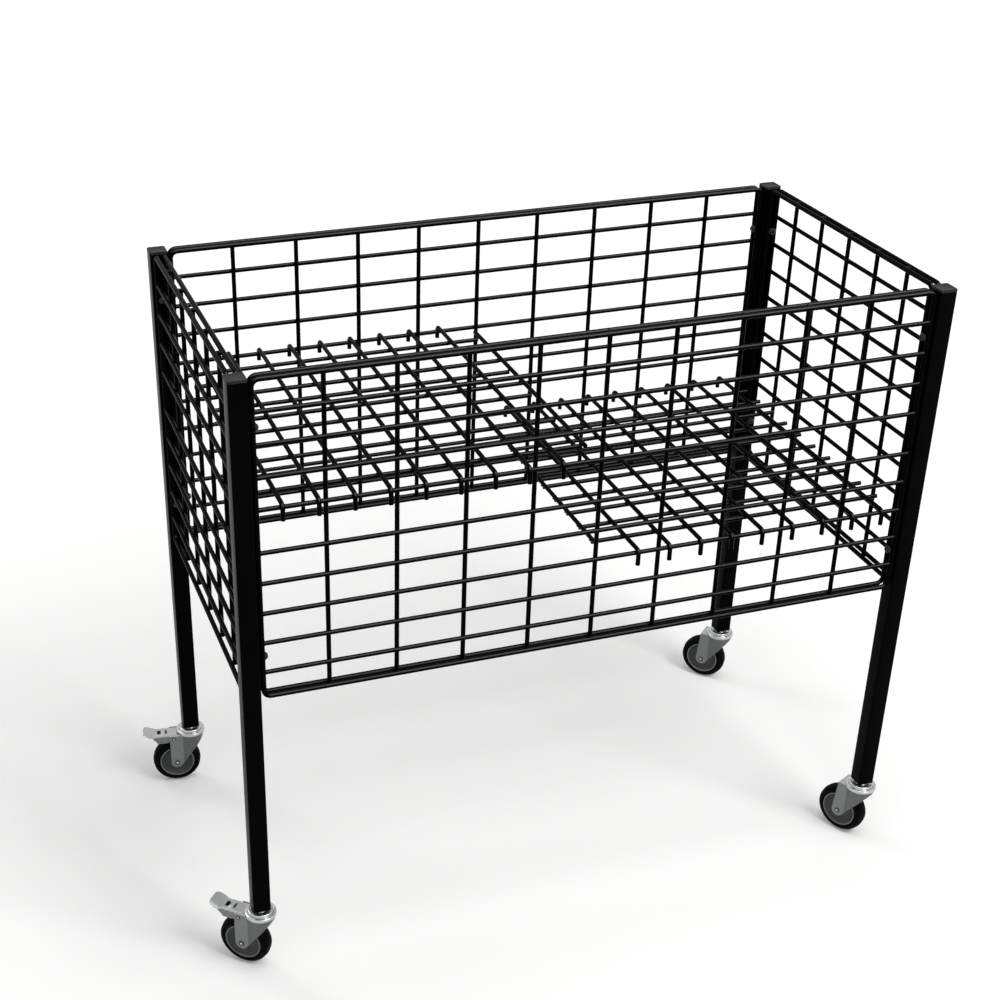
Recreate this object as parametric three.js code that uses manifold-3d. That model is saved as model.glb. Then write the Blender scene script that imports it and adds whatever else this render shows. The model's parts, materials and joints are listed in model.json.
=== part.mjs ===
// Mobile retail dump bin: four square posts on castors, four welded wire panels screwed between them,
// and two wire shelves that hook over the panels' rows at different heights.
// Millimetres, Z up, X along the bin, Y from front to back, floor at Z = 0.
import * as THREE from "three";
import { mergeVertices } from "three/addons/utils/BufferGeometryUtils.js";
import Module from "manifold-3d";

const wasm = await Module();
wasm.setup();

// Frame
const binLength = 1058;
const binWidth = 530;
const postSide = 27;
const postWall = 1.5;
const postCornerRadius = 2.5;
const postLength = 862;
const capThickness = 3;
const capEdge = 0.7;
const capPlugDepth = 14;
const capPlugWall = 2;
const plugClearance = 0.25;

// Panels: two closed rod loops with upright wires between them and row wires outside the uprights
const panelHeight = 488;
const panelDrop = 0.5;
const panelGap = 1.5;
const panelCorner = 14;
const rodDiameter = 7;
const wireDiameter = 6;
const longColumnPitch = 100;
const shortColumnPitch = 80;
const lowerRows = 5;
const upperRows = 4;
const lowestRowRise = 43.8;
const highestRowDrop = 48.8;
const middleRowGap = 65;
const uprightInset = 1.5;
const rimWeldDepth = 0.3;
const rowClearance = 0.05;

// Panel screws
const screwRadius = 2.5;
const screwHeadRadius = 6.5;
const screwHeadHeight = 5;
const screwGrip = 6;
const screwClearance = 0.15;

// Shelves
const leftShelfRow = 6;
const rightShelfRow = 3;
const shelfWiresPerColumn = 2;
const shelfFirstWire = 12.5;
const shelfCrossPitch = 46;
const shelfSideMargin = 35;
const shelfDepthMargin = 24;
const shelfWireOverhang = 8;
const shelfFarOverhang = 26;
const shelfEdgeOverhang = 15;
const shelfWeldDepth = 0.2;
const hookDrop = 22;

// Castors, measured down from the underside of the post
const wheelDiameter = 84;
const tyreWidth = 26;
const tyreThickness = 12;
const tyreShoulder = 7;
const wheelDish = 5;
const wheelRimWidth = 2.5;
const wheelWeb = 10;
const hubWidth = 26;
const hubRadius = 9;
const hubFlare = 3;
const axleRadius = 4;
const axleHeadRadius = 5.5;
const axleHeadHeight = 2;
const trail = 27;
const sheetThickness = 2.5;
const forkSideGap = 1;
const legEndRadius = 9;
const crownRadius = 23;
const crownLip = 5;
const skirtDepth = 30;
const skirtFootRadius = 14.5;
const stemRadius = 5;
const stemLength = 28;
const socketLength = 32;
const collarRadius = 9;
const collarHeight = 3;
const raceUpperRadius = 20;
const raceUpperHeight = 4;
const raceRadius = 24.5;
const raceHeight = 6;
const raceWall = 1.5;
const kingpinRadius = 6;
const kingpinHeadRadius = 9;
const kingpinHeadHeight = 3;
const wheelToCrown = 12;
const castorTurn = { front_left: 139, front_right: 116, back_left: 172, back_right: 132 };

// Brake pedals on the two left castors, measured from their pivot
const brakedCastors = ["front_left", "back_left"];
const pinRadius = 2.5;
const pinHeadRadius = 4;
const pinHeadHeight = 1.2;
const pedalSheet = 1.8;
const pedalSideGap = 1;
const pedalEndRadius = 6.5;
const pedalCrownGap = 1;
const pedalFlat = 36;
const pedalReach = 57;
const pedalRise = 12;
const pedalSkirtReach = 19.5;
const pedalSkirtDepth = 14.6;
const pedalFlare = 3;
const pedalFlareStart = 24;
const pedalTipRadius = 9;
const pedalSlotLength = 14;
const pedalSlotWidth = 7;
const pedalSlotStart = 17;

// Fits
const seatGap = 0.2;
const runningGap = 0.4;

// Facets round each kind of round piece
const wireSides = 6;
const screwSides = 7;
const pinSides = 9;
const stemSides = 14;
const wheelSides = 20;
const crownSides = 16;
const bendSteps = 2;
const cornerSteps = 2;

// Heights down the castor, from the underside of the post
const wireRadius = wireDiameter / 2;
const rodRadius = rodDiameter / 2;
const wheelRadius = wheelDiameter / 2;
const collarTop = -seatGap;
const collarBottom = collarTop - collarHeight;
const raceStep = collarBottom - raceUpperHeight;
const raceBottom = raceStep - raceHeight;
const crownTop = raceBottom - runningGap;
const crownBottom = crownTop - sheetThickness;
const axleZ = crownBottom - wheelToCrown - wheelRadius;
const pivotZ = crownTop - pedalEndRadius;
const pivotBack = crownRadius + pedalCrownGap + pedalEndRadius;
const postBottom = wheelRadius * Math.cos(Math.PI / wheelSides) - axleZ;
const postTop = postBottom + postLength;
const legInside = hubWidth / 2 + forkSideGap;
const legOutside = legInside + sheetThickness;

// Places in plan
const postX = binLength / 2 - postSide / 2;
const postY = binWidth / 2 - postSide / 2;
const longPanelWidth = binLength - 2 * postSide - 2 * panelGap;
const shortPanelWidth = binWidth - 2 * postSide - 2 * panelGap;
const panelBottom = postTop + seatGap + capThickness - panelDrop - panelHeight;
const loopOffset = wireRadius + rodRadius - rimWeldDepth;
const rowOffset = wireDiameter + rowClearance;
const rowCount = lowerRows + upperRows;
const rowPitch = (panelHeight - lowestRowRise - highestRowDrop - middleRowGap) / (rowCount - 2);
const corners = [
  { name: "front_left", x: -1, y: -1 },
  { name: "front_right", x: 1, y: -1 },
  { name: "back_left", x: -1, y: 1 },
  { name: "back_right", x: 1, y: 1 },
];

// Height of a panel row above the floor, counted from 1 at the bottom. The lower rows are set out from the
// bottom rim and the upper rows from the top rim, with a wider gap between the two groups.
function rowHeight(number) {
  if (number <= lowerRows) return panelBottom + lowestRowRise + (number - 1) * rowPitch;
  return panelBottom + panelHeight - highestRowDrop - (rowCount - number) * rowPitch;
}
const screwHeights = {
  low: (rowHeight(1) + rowHeight(2)) / 2,
  high: (rowHeight(rowCount - 1) + rowHeight(rowCount)) / 2,
};

// Materials
function finish(color, roughness, metalness) {
  return new THREE.MeshStandardMaterial({ color, roughness, metalness });
}
const finishes = {
  powderCoat: () => finish(0x1b1c1e, 0.45, 0.3),
  capPlastic: () => finish(0x2b2c2e, 0.6, 0),
  blackScrew: () => finish(0x111214, 0.4, 0.6),
  zinc: () => finish(0xb9bcc0, 0.35, 1),
  socketSteel: () => finish(0x8b8e92, 0.5, 1),
  rubber: () => finish(0x141415, 0.8, 0),
  wheelPlastic: () => finish(0x5d6063, 0.6, 0),
};

// Solids: a closed surface becomes a solid that can be joined and cut
function toSolid(geometry) {
  const bare = geometry.clone();
  bare.deleteAttribute("normal");
  bare.deleteAttribute("uv");
  const merged = mergeVertices(bare, 1e-4);
  const vertProperties = merged.attributes.position.array;
  const triVerts = new Uint32Array(merged.index.array);
  return new wasm.Manifold(new wasm.Mesh({ numProp: 3, vertProperties, triVerts }));
}

function joined(geometries) {
  return geometries.map(toSolid).reduce((all, next) => all.add(next));
}

function without(solid, geometries) {
  return geometries.map(toSolid).reduce((all, next) => all.subtract(next), solid);
}

function toGeometry(solid) {
  const mesh = solid.getMesh();
  const geometry = new THREE.BufferGeometry();
  geometry.setAttribute("position", new THREE.BufferAttribute(mesh.vertProperties, 3));
  geometry.setIndex(new THREE.BufferAttribute(mesh.triVerts, 1));
  geometry.computeVertexNormals();
  return geometry;
}

// A round piece turned about X, Y or Z, from (radius, height) points that run from its low end to its high end.
function turned(profile, sides, axis) {
  const points = profile.map(([radius, height]) => new THREE.Vector2(radius, height));
  const geometry = new THREE.LatheGeometry(points, sides, Math.PI / sides);
  if (axis === "x") geometry.rotateZ(-Math.PI / 2);
  if (axis === "z") geometry.rotateX(Math.PI / 2);
  return geometry;
}

// A straight round bar along X, Y or Z between two places on that axis, with a corner of its section
// on the axis that it is welded along.
function bar(radius, sides, axis, from, to, cornerTurn = 0) {
  const geometry = new THREE.CylinderGeometry(radius, radius, to - from, sides, 1, false, cornerTurn);
  geometry.translate(0, (from + to) / 2, 0);
  if (axis === "x") geometry.rotateZ(-Math.PI / 2);
  if (axis === "z") geometry.rotateX(Math.PI / 2);
  return geometry;
}

// A flat sheet whose outline lies in X and Z, between two places along Y.
function sheetAlongY(outline, from, to) {
  const geometry = new THREE.ExtrudeGeometry(outline, { depth: to - from, bevelEnabled: false });
  geometry.rotateX(Math.PI / 2);
  geometry.translate(0, to, 0);
  return geometry;
}

// Points along a round corner of an outline, from one angle to another.
function arcPoints(x, y, radius, from, to, steps) {
  const points = [];
  for (let i = 0; i <= steps; i += 1) {
    const angle = from + ((to - from) * i) / steps;
    points.push(new THREE.Vector2(x + radius * Math.cos(angle), y + radius * Math.sin(angle)));
  }
  return points;
}

function roundedRectangle(width, height, radius, steps = cornerSteps) {
  const points = [];
  for (let quarter = 0; quarter < 4; quarter += 1) {
    const x = (width / 2 - radius) * (quarter === 0 || quarter === 3 ? 1 : -1);
    const y = (height / 2 - radius) * (quarter < 2 ? 1 : -1);
    const from = (quarter * Math.PI) / 2;
    points.push(...arcPoints(x, y, radius, from, from + Math.PI / 2, steps));
  }
  return points;
}

// A flat outline with an optional hole, both as lists of points.
function outlined(points, hole) {
  const shape = new THREE.Shape(points);
  if (hole) shape.holes.push(new THREE.Path(hole));
  return shape;
}

// A wire's centre line through given points, with one section of the wire at each of them.
class WirePath extends THREE.Curve {
  constructor(points) {
    super();
    this.points = points;
  }
  getPoint(t) {
    const place = Math.min(Math.max(t, 0), 1) * (this.points.length - 1);
    const index = Math.min(Math.floor(place), this.points.length - 2);
    return this.points[index].clone().lerp(this.points[index + 1], place - index);
  }
  getPointAt(u) {
    return this.getPoint(u);
  }
  getTangentAt(u) {
    return this.getTangent(u);
  }
}

function bentWire(points) {
  const section = new THREE.Shape();
  for (let i = 0; i < wireSides; i += 1) {
    const angle = (2 * Math.PI * i) / wireSides;
    const x = wireRadius * Math.cos(angle);
    const y = wireRadius * Math.sin(angle);
    if (i === 0) section.moveTo(x, y);
    else section.lineTo(x, y);
  }
  const extrudePath = new WirePath(points);
  return new THREE.ExtrudeGeometry(section, { steps: points.length - 1, extrudePath });
}

// Assembly
const bin = new THREE.Group();

function addMesh(parent, name, geometry, material) {
  const mesh = new THREE.Mesh(geometry, material());
  mesh.name = name;
  parent.add(mesh);
  return mesh;
}

// Post: square tube with a hole for each panel screw in its two inner faces
function makePost(corner) {
  const innerSide = postSide - 2 * postWall;
  const outside = roundedRectangle(postSide, postSide, postCornerRadius);
  const inside = roundedRectangle(innerSide, innerSide, postCornerRadius - postWall, 1);
  const tube = new THREE.ExtrudeGeometry(outlined(outside, inside), { depth: postLength, bevelEnabled: false });
  tube.translate(0, 0, postBottom);
  const drills = [];
  for (const height of Object.values(screwHeights)) {
    const radius = screwRadius + screwClearance;
    const alongX = bar(radius, screwSides, "x", 0, postSide, Math.PI / screwSides);
    if (corner.x > 0) alongX.rotateZ(Math.PI);
    alongX.translate(0, 0, height);
    const alongY = bar(radius, screwSides, "y", 0, postSide, Math.PI / screwSides);
    if (corner.y > 0) alongY.rotateZ(Math.PI);
    alongY.translate(0, 0, height);
    drills.push(alongX, alongY);
  }
  return toGeometry(without(toSolid(tube), drills));
}

// Post cap: a flat plate with a hollow square plug that grips inside the tube
function makeCap() {
  const plugSide = postSide - 2 * postWall - 2 * plugClearance;
  const hollowSide = plugSide - 2 * capPlugWall;
  const plateSide = postSide - 2 * capEdge;
  const plateOutline = outlined(roundedRectangle(plateSide, plateSide, postCornerRadius - capEdge));
  const plate = new THREE.ExtrudeGeometry(plateOutline, {
    depth: capThickness - 2 * capEdge,
    bevelSize: capEdge,
    bevelThickness: capEdge,
    bevelSegments: 1,
  });
  plate.translate(0, 0, capEdge);
  const plugOutside = roundedRectangle(plugSide, plugSide, postCornerRadius, 1);
  const plugInside = roundedRectangle(hollowSide, hollowSide, capPlugWall, 1);
  const plug = new THREE.ExtrudeGeometry(outlined(plugOutside, plugInside), {
    depth: capPlugDepth + capThickness / 2,
    bevelEnabled: false,
  });
  plug.translate(0, 0, -capPlugDepth);
  return toGeometry(joined([plate, plug]));
}

// Castor socket: a square block pressed into the foot of the post, bored for the castor's stem
function makeSocket() {
  const side = postSide - 2 * postWall - 2 * plugClearance;
  const outside = roundedRectangle(side, side, postCornerRadius, 1);
  const bore = arcPoints(0, 0, stemRadius + runningGap, 0, 2 * Math.PI, stemSides).slice(1);
  return new THREE.ExtrudeGeometry(outlined(outside, bore), { depth: socketLength, bevelEnabled: false });
}

// One rod loop of a panel: a rounded rectangle of eight-sided rod, standing in X and Z
function makeLoop(width) {
  const flat = rodRadius * Math.tan(Math.PI / 8);
  const edge = rodRadius - flat;
  const middleWidth = width - rodDiameter;
  const middleHeight = panelHeight - rodDiameter;
  const radius = panelCorner - rodRadius;
  const outside = roundedRectangle(middleWidth + 2 * flat, middleHeight + 2 * flat, radius + flat);
  const inside = roundedRectangle(middleWidth - 2 * flat, middleHeight - 2 * flat, radius - flat);
  const loop = new THREE.ExtrudeGeometry(outlined(outside, inside), {
    depth: 2 * flat,
    bevelSize: edge,
    bevelThickness: edge,
    bevelSegments: 1,
  });
  loop.translate(0, 0, -flat);
  loop.rotateX(Math.PI / 2);
  loop.translate(0, 0, panelHeight / 2);
  return loop;
}

// Panel: the uprights stand between the two loops, and the rows cross them on the outer side, at negative Y
function makePanel(width, columnPitch) {
  const pieces = [];
  for (const side of [-1, 1]) pieces.push(makeLoop(width).translate(0, side * loopOffset, 0));
  const uprights = Math.round((width - rodDiameter) / columnPitch) - 1;
  for (let i = 0; i < uprights; i += 1) {
    const upright = bar(wireRadius, wireSides, "z", uprightInset, panelHeight - uprightInset);
    pieces.push(upright.translate((i - (uprights - 1) / 2) * columnPitch, 0, 0));
  }
  const reach = width / 2 - rodRadius;
  for (let number = 1; number <= rowCount; number += 1) {
    const row = bar(wireRadius, wireSides, "x", -reach, reach, Math.PI / 2);
    pieces.push(row.translate(0, -rowOffset, rowHeight(number) - panelBottom));
  }
  return toGeometry(joined(pieces));
}

// Panel screw: domed head and shank, with the shank towards positive X and the seat of the head at zero
function makeScrew() {
  const shank = rodDiameter + seatGap + panelGap + postWall + screwGrip;
  const profile = [
    [0, -screwHeadHeight],
    [screwHeadRadius * 0.7, -screwHeadHeight * 0.75],
    [screwHeadRadius, 0],
    [screwRadius, 0],
    [screwRadius, shank],
    [0, shank],
  ];
  return turned(profile, screwSides, "x");
}

// Shelf half, on the side of X given by its sign, with the row that carries it at height zero. The straight
// edge wire is welded to every cross wire, and the two end cross wires to every hooked wire.
function makeShelf(sign) {
  const hookRadius = wireDiameter + seatGap;
  const rowY = postY + rowOffset;
  const pitch = longColumnPitch / shelfWiresPerColumn;
  const sideReach = postX - loopOffset - rodRadius - shelfSideMargin;
  const wireCount = Math.floor((sideReach - shelfFirstWire) / pitch) + 1;
  const depthReach = postY - loopOffset - rodRadius - shelfDepthMargin;
  const crossCount = Math.floor((2 * depthReach) / shelfCrossPitch) + 1;
  const crossZ = hookRadius - wireDiameter - rowClearance;
  const weldRise = shelfWeldDepth + rowClearance;
  const lastCross = ((crossCount - 1) / 2) * shelfCrossPitch;
  const lastWire = shelfFirstWire + (wireCount - 1) * pitch;

  // Down the front hook, along the shelf and down the back hook
  const hooked = [new THREE.Vector3(0, -rowY - hookRadius, -hookDrop)];
  for (let i = 0; i <= bendSteps; i += 1) {
    const angle = (Math.PI / 2) * (i / bendSteps);
    const y = -rowY - hookRadius * Math.cos(angle);
    hooked.push(new THREE.Vector3(0, y, hookRadius * Math.sin(angle)));
  }
  const mirrored = hooked.map((point) => new THREE.Vector3(0, -point.y, point.z)).reverse();
  const centreLine = [...hooked, ...mirrored];

  const pieces = [];
  const edgeReach = lastCross + shelfEdgeOverhang;
  const edgeWire = bar(wireRadius, wireSides, "y", -edgeReach, edgeReach);
  pieces.push(edgeWire.translate(sign * shelfFirstWire, 0, hookRadius - weldRise));
  for (let i = 1; i < wireCount; i += 1) {
    pieces.push(bentWire(centreLine).translate(sign * (shelfFirstWire + i * pitch), 0, 0));
  }
  const near = shelfFirstWire - shelfWireOverhang;
  const far = lastWire + shelfFarOverhang;
  for (let i = 0; i < crossCount; i += 1) {
    const cross = bar(wireRadius, wireSides, "x", Math.min(sign * near, sign * far), Math.max(sign * near, sign * far));
    const rise = i === 0 || i === crossCount - 1 ? weldRise : 0;
    pieces.push(cross.translate(0, -lastCross + i * shelfCrossPitch, crossZ + rise));
  }
  return toGeometry(joined(pieces));
}

// Castor stem: the stem, its collar, the two-step pressed race and the kingpin riveted under the fork
function makeStem() {
  const headTop = crownBottom - runningGap;
  const profile = [
    [0, headTop - kingpinHeadHeight],
    [kingpinHeadRadius * 0.7, headTop - kingpinHeadHeight],
    [kingpinHeadRadius, headTop],
    [kingpinRadius, headTop],
    [kingpinRadius, raceStep - raceWall],
    [raceRadius - raceWall, raceStep - raceWall],
    [raceRadius - raceWall, raceBottom],
    [raceRadius, raceBottom],
    [raceRadius, raceStep - raceWall],
    [raceRadius - raceWall, raceStep],
    [raceUpperRadius, raceStep],
    [raceUpperRadius - raceWall, collarBottom],
    [collarRadius, collarBottom],
    [collarRadius, collarTop],
    [stemRadius, collarTop],
    [stemRadius, stemLength],
    [0, stemLength],
  ];
  return turned(profile, stemSides, "z");
}

// Fork: a round crown whose skirt runs into two flat legs, cut on a slope in front and plumb behind
function makeFork(braked) {
  const back = trail + legEndRadius;
  const legEnd = arcPoints(trail, axleZ, legEndRadius, -0.84 * Math.PI, 0, 5);
  const lip = new THREE.Vector2(-crownRadius, crownTop - crownLip);
  const slope = (legEnd[0].y - lip.y) / (legEnd[0].x - lip.x);
  const sideView = outlined([
    new THREE.Vector2(back, crownTop),
    new THREE.Vector2(-crownRadius, crownTop),
    lip,
    ...legEnd,
  ]);
  const legView = outlined([
    new THREE.Vector2(back, crownTop),
    new THREE.Vector2(0, crownTop),
    new THREE.Vector2(0, lip.y - slope * lip.x),
    ...legEnd,
  ]);
  const skirtBottom = crownTop - skirtDepth;
  const taper = (crownRadius - skirtFootRadius) / skirtDepth;
  const outside = turned(
    [
      [0, skirtBottom],
      [skirtFootRadius, skirtBottom],
      [crownRadius, crownTop],
      [0, crownTop],
    ],
    crownSides,
    "z",
  );
  const inside = turned(
    [
      [0, skirtBottom - sheetThickness],
      [skirtFootRadius - (1 + taper) * sheetThickness, skirtBottom - sheetThickness],
      [crownRadius - (1 + taper) * sheetThickness, crownBottom],
      [0, crownBottom],
    ],
    crownSides,
    "z",
  );
  const skirt = toSolid(outside).intersect(toSolid(sheetAlongY(sideView, -crownRadius, crownRadius)));
  const body = skirt.add(toSolid(sheetAlongY(legView, -legOutside, legOutside)));
  const between = new THREE.BoxGeometry(2 * back, 2 * legInside, 2 * wheelDiameter);
  between.translate(back, 0, crownBottom - wheelDiameter);
  const axleHole = bar(axleRadius + seatGap, pinSides, "y", -2 * legOutside, 2 * legOutside, Math.PI / pinSides);
  const cuts = [
    inside,
    between,
    bar(kingpinRadius + runningGap, stemSides, "z", crownBottom - 1, crownTop + 1, Math.PI / stemSides),
    axleHole.translate(trail, 0, axleZ),
  ];
  if (braked) {
    const pinHole = bar(pinRadius + seatGap, pinSides, "y", -2 * legOutside, 2 * legOutside, Math.PI / pinSides);
    cuts.push(pinHole.translate(pivotBack, 0, pivotZ));
    const pedalRoom = new THREE.BoxGeometry(back, 2 * legInside, 2 * sheetThickness);
    cuts.push(pedalRoom.translate(crownRadius + runningGap + back / 2, 0, crownTop));
  }
  return toGeometry(without(body, cuts));
}

// A headed pin along Y through both legs of the fork
function makePin(radius, headRadius, headHeight) {
  const seat = legOutside + seatGap;
  const profile = [
    [0, -seat - headHeight],
    [headRadius * 0.8, -seat - headHeight],
    [headRadius, -seat],
    [radius, -seat],
    [radius, seat],
    [headRadius, seat],
    [headRadius * 0.8, seat + headHeight],
    [0, seat + headHeight],
  ];
  return turned(profile, pinSides, "y");
}

// A ring about Y whose half profile runs outwards along its positive side and is mirrored to the other
function ringAboutY(half) {
  const back = half.map(([radius, side]) => [radius, -side]);
  const front = [...half].reverse();
  return turned([...back, ...front, back[0]], wheelSides, "y");
}

// Wheel centre: hub, dished web and raised rim, seated inside the tyre
function makeWheelCentre() {
  const rimRadius = wheelRadius - tyreThickness - seatGap;
  const rimSide = tyreWidth / 2 - 1;
  const webSide = wheelWeb / 2;
  return ringAboutY([
    [axleRadius + runningGap, hubWidth / 2],
    [hubRadius, hubWidth / 2],
    [hubRadius + hubFlare, webSide],
    [rimRadius - wheelRimWidth - wheelDish, webSide],
    [rimRadius - wheelRimWidth, rimSide],
    [rimRadius, rimSide],
  ]);
}

// Tyre: a solid rubber ring with rounded shoulders
function makeTyre() {
  const side = tyreWidth / 2;
  const slope = tyreShoulder * Math.SQRT1_2;
  return ringAboutY([
    [wheelRadius - tyreThickness, side - 1],
    [wheelRadius - tyreShoulder - 1, side],
    [wheelRadius - tyreShoulder + slope, side - tyreShoulder + slope],
    [wheelRadius, side - tyreShoulder],
  ]);
}

// Brake pedal: a pressed channel that turns on the fork's pin between the legs, with deep skirts that meet
// the tyre when it is pressed and a flared tip that turns up
function makePedal() {
  const top = pivotZ + pedalEndRadius;
  const flatEnd = pivotBack + pedalFlat;
  const tipX = pivotBack + pedalReach;
  const tipZ = top + pedalRise;
  const half = legInside - pedalSideGap;
  const tipHalf = half + pedalFlare;
  const outline = outlined([
    ...arcPoints(pivotBack, pivotZ, pedalEndRadius, Math.PI / 2, 1.5 * Math.PI, 6),
    new THREE.Vector2(pivotBack + pedalSkirtReach, top - pedalSkirtDepth),
    new THREE.Vector2(flatEnd, top - pedalSheet),
    new THREE.Vector2((flatEnd + tipX) / 2, top + 0.3 * pedalRise - pedalSheet),
    new THREE.Vector2(tipX, tipZ - pedalSheet),
    new THREE.Vector2(tipX, tipZ),
    new THREE.Vector2((flatEnd + tipX) / 2, top + 0.3 * pedalRise),
    new THREE.Vector2(flatEnd, top),
  ]);
  const lever = sheetAlongY(outline, -tipHalf, tipHalf);

  const backEnd = pivotBack - 2 * pedalEndRadius;
  const underEnd = flatEnd - 2 * pedalSheet;
  const under = new THREE.BoxGeometry(underEnd - backEnd, 2 * (half - pedalSheet), 2 * pedalSkirtDepth);
  under.translate((underEnd + backEnd) / 2, 0, top - pedalSheet - pedalSkirtDepth);
  const slot = new THREE.BoxGeometry(pedalSlotLength, pedalSlotWidth, 4 * pedalSheet);
  slot.translate(pivotBack + pedalSlotStart, 0, top);
  const pinHole = bar(pinRadius + runningGap, pinSides, "y", -2 * half, 2 * half, Math.PI / pinSides);
  pinHole.translate(pivotBack, 0, pivotZ);
  const channel = without(toSolid(lever), [under, slot, pinHole]);

  const flareX = pivotBack + pedalFlareStart;
  const plan = outlined([
    new THREE.Vector2(backEnd, -half),
    new THREE.Vector2(flareX, -half),
    new THREE.Vector2(flatEnd, -tipHalf),
    ...arcPoints(tipX - pedalTipRadius, -tipHalf + pedalTipRadius, pedalTipRadius, -Math.PI / 2, 0, 3),
    ...arcPoints(tipX - pedalTipRadius, tipHalf - pedalTipRadius, pedalTipRadius, 0, Math.PI / 2, 3),
    new THREE.Vector2(flatEnd, tipHalf),
    new THREE.Vector2(flareX, half),
    new THREE.Vector2(backEnd, half),
  ]);
  const trim = new THREE.ExtrudeGeometry(plan, { depth: 2 * wheelRadius, bevelEnabled: false });
  trim.translate(0, 0, pivotZ - wheelRadius);
  return toGeometry(channel.intersect(toSolid(trim)));
}

// Posts, caps and castors at the four corners
for (const corner of corners) {
  const place = new THREE.Group();
  place.position.set(corner.x * postX, corner.y * postY, 0);
  bin.add(place);
  addMesh(place, `post_${corner.name}`, makePost(corner), finishes.powderCoat);
  addMesh(place, `post_cap_${corner.name}`, makeCap(), finishes.capPlastic).position.z = postTop + seatGap;
  addMesh(place, `castor_socket_${corner.name}`, makeSocket(), finishes.socketSteel).position.z = postBottom;
  addMesh(place, `castor_stem_${corner.name}`, makeStem(), finishes.zinc).position.z = postBottom;

  const castor = new THREE.Group();
  castor.position.z = postBottom;
  castor.rotation.z = THREE.MathUtils.degToRad(castorTurn[corner.name]);
  place.add(castor);
  const braked = brakedCastors.includes(corner.name);
  addMesh(castor, `castor_fork_${corner.name}`, makeFork(braked), finishes.zinc);
  const axle = addMesh(castor, `castor_axle_${corner.name}`, makePin(axleRadius, axleHeadRadius, axleHeadHeight), finishes.zinc);
  const centre = addMesh(castor, `wheel_centre_${corner.name}`, makeWheelCentre(), finishes.wheelPlastic);
  const tyre = addMesh(castor, `tyre_${corner.name}`, makeTyre(), finishes.rubber);
  for (const piece of [axle, centre, tyre]) piece.position.set(trail, 0, axleZ);
  if (braked) {
    addMesh(castor, `brake_pedal_${corner.name}`, makePedal(), finishes.zinc);
    const pin = addMesh(castor, `brake_pin_${corner.name}`, makePin(pinRadius, pinHeadRadius, pinHeadHeight), finishes.zinc);
    pin.position.set(pivotBack, 0, pivotZ);
  }
}

// Panels with their screws, each turned so that its rows face outwards
const panels = [
  { name: "front", width: longPanelWidth, pitch: longColumnPitch, turn: 0, offset: postY, ends: ["left", "right"] },
  { name: "right", width: shortPanelWidth, pitch: shortColumnPitch, turn: 90, offset: postX, ends: ["front", "back"] },
  { name: "back", width: longPanelWidth, pitch: longColumnPitch, turn: 180, offset: postY, ends: ["right", "left"] },
  { name: "left", width: shortPanelWidth, pitch: shortColumnPitch, turn: 270, offset: postX, ends: ["back", "front"] },
];
for (const panel of panels) {
  const side = new THREE.Group();
  side.rotation.z = THREE.MathUtils.degToRad(panel.turn);
  bin.add(side);
  const grid = addMesh(side, `panel_${panel.name}`, makePanel(panel.width, panel.pitch), finishes.powderCoat);
  grid.position.set(0, -panel.offset, panelBottom);
  for (const [index, end] of panel.ends.entries()) {
    const outward = index === 0 ? -1 : 1;
    for (const [level, height] of Object.entries(screwHeights)) {
      const screw = addMesh(side, `screw_${panel.name}_${end}_${level}`, makeScrew(), finishes.blackScrew);
      screw.position.set(outward * (panel.width / 2 - rodDiameter - seatGap), -panel.offset, height);
      screw.rotation.z = outward > 0 ? 0 : Math.PI;
    }
  }
}

// Shelves, each hooked over one row of the front and back panels
addMesh(bin, "shelf_left", makeShelf(-1), finishes.powderCoat).position.z = rowHeight(leftShelfRow);
addMesh(bin, "shelf_right", makeShelf(1), finishes.powderCoat).position.z = rowHeight(rightShelfRow);

// The origin is on the floor, under the middle of the whole bin with its castors as they stand
const extent = new THREE.Box3().setFromObject(bin);
const middle = extent.getCenter(new THREE.Vector3());
bin.position.set(-middle.x, -middle.y, 0);

const dumpBin = new THREE.Group();
dumpBin.add(bin);

export default dumpBin;
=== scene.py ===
import json
import math
import bmesh
import bpy
from mathutils import Matrix, Vector


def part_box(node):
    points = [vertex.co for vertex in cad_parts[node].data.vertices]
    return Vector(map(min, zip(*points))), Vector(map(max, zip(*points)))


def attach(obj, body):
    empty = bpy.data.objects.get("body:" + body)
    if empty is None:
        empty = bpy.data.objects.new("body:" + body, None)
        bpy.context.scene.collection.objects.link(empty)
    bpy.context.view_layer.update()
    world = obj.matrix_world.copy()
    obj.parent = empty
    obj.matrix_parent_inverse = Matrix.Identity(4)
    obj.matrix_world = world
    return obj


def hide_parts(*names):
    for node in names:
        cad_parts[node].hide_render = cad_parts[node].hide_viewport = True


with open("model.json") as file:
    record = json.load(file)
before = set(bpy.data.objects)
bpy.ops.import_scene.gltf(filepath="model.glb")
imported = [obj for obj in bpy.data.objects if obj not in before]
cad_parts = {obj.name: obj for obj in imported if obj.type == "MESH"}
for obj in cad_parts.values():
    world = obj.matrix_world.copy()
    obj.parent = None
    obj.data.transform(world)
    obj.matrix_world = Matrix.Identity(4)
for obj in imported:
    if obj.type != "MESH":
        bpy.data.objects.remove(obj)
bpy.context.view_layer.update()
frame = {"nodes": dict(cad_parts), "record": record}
joints = {joint["name"]: joint for joint in frame["record"]["behaviour"]["joints"]}
cornerNames = ("front_left", "front_right", "back_left", "back_right")
scene = bpy.context.scene
print("frame:", len(frame["nodes"]), "nodes")


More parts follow.
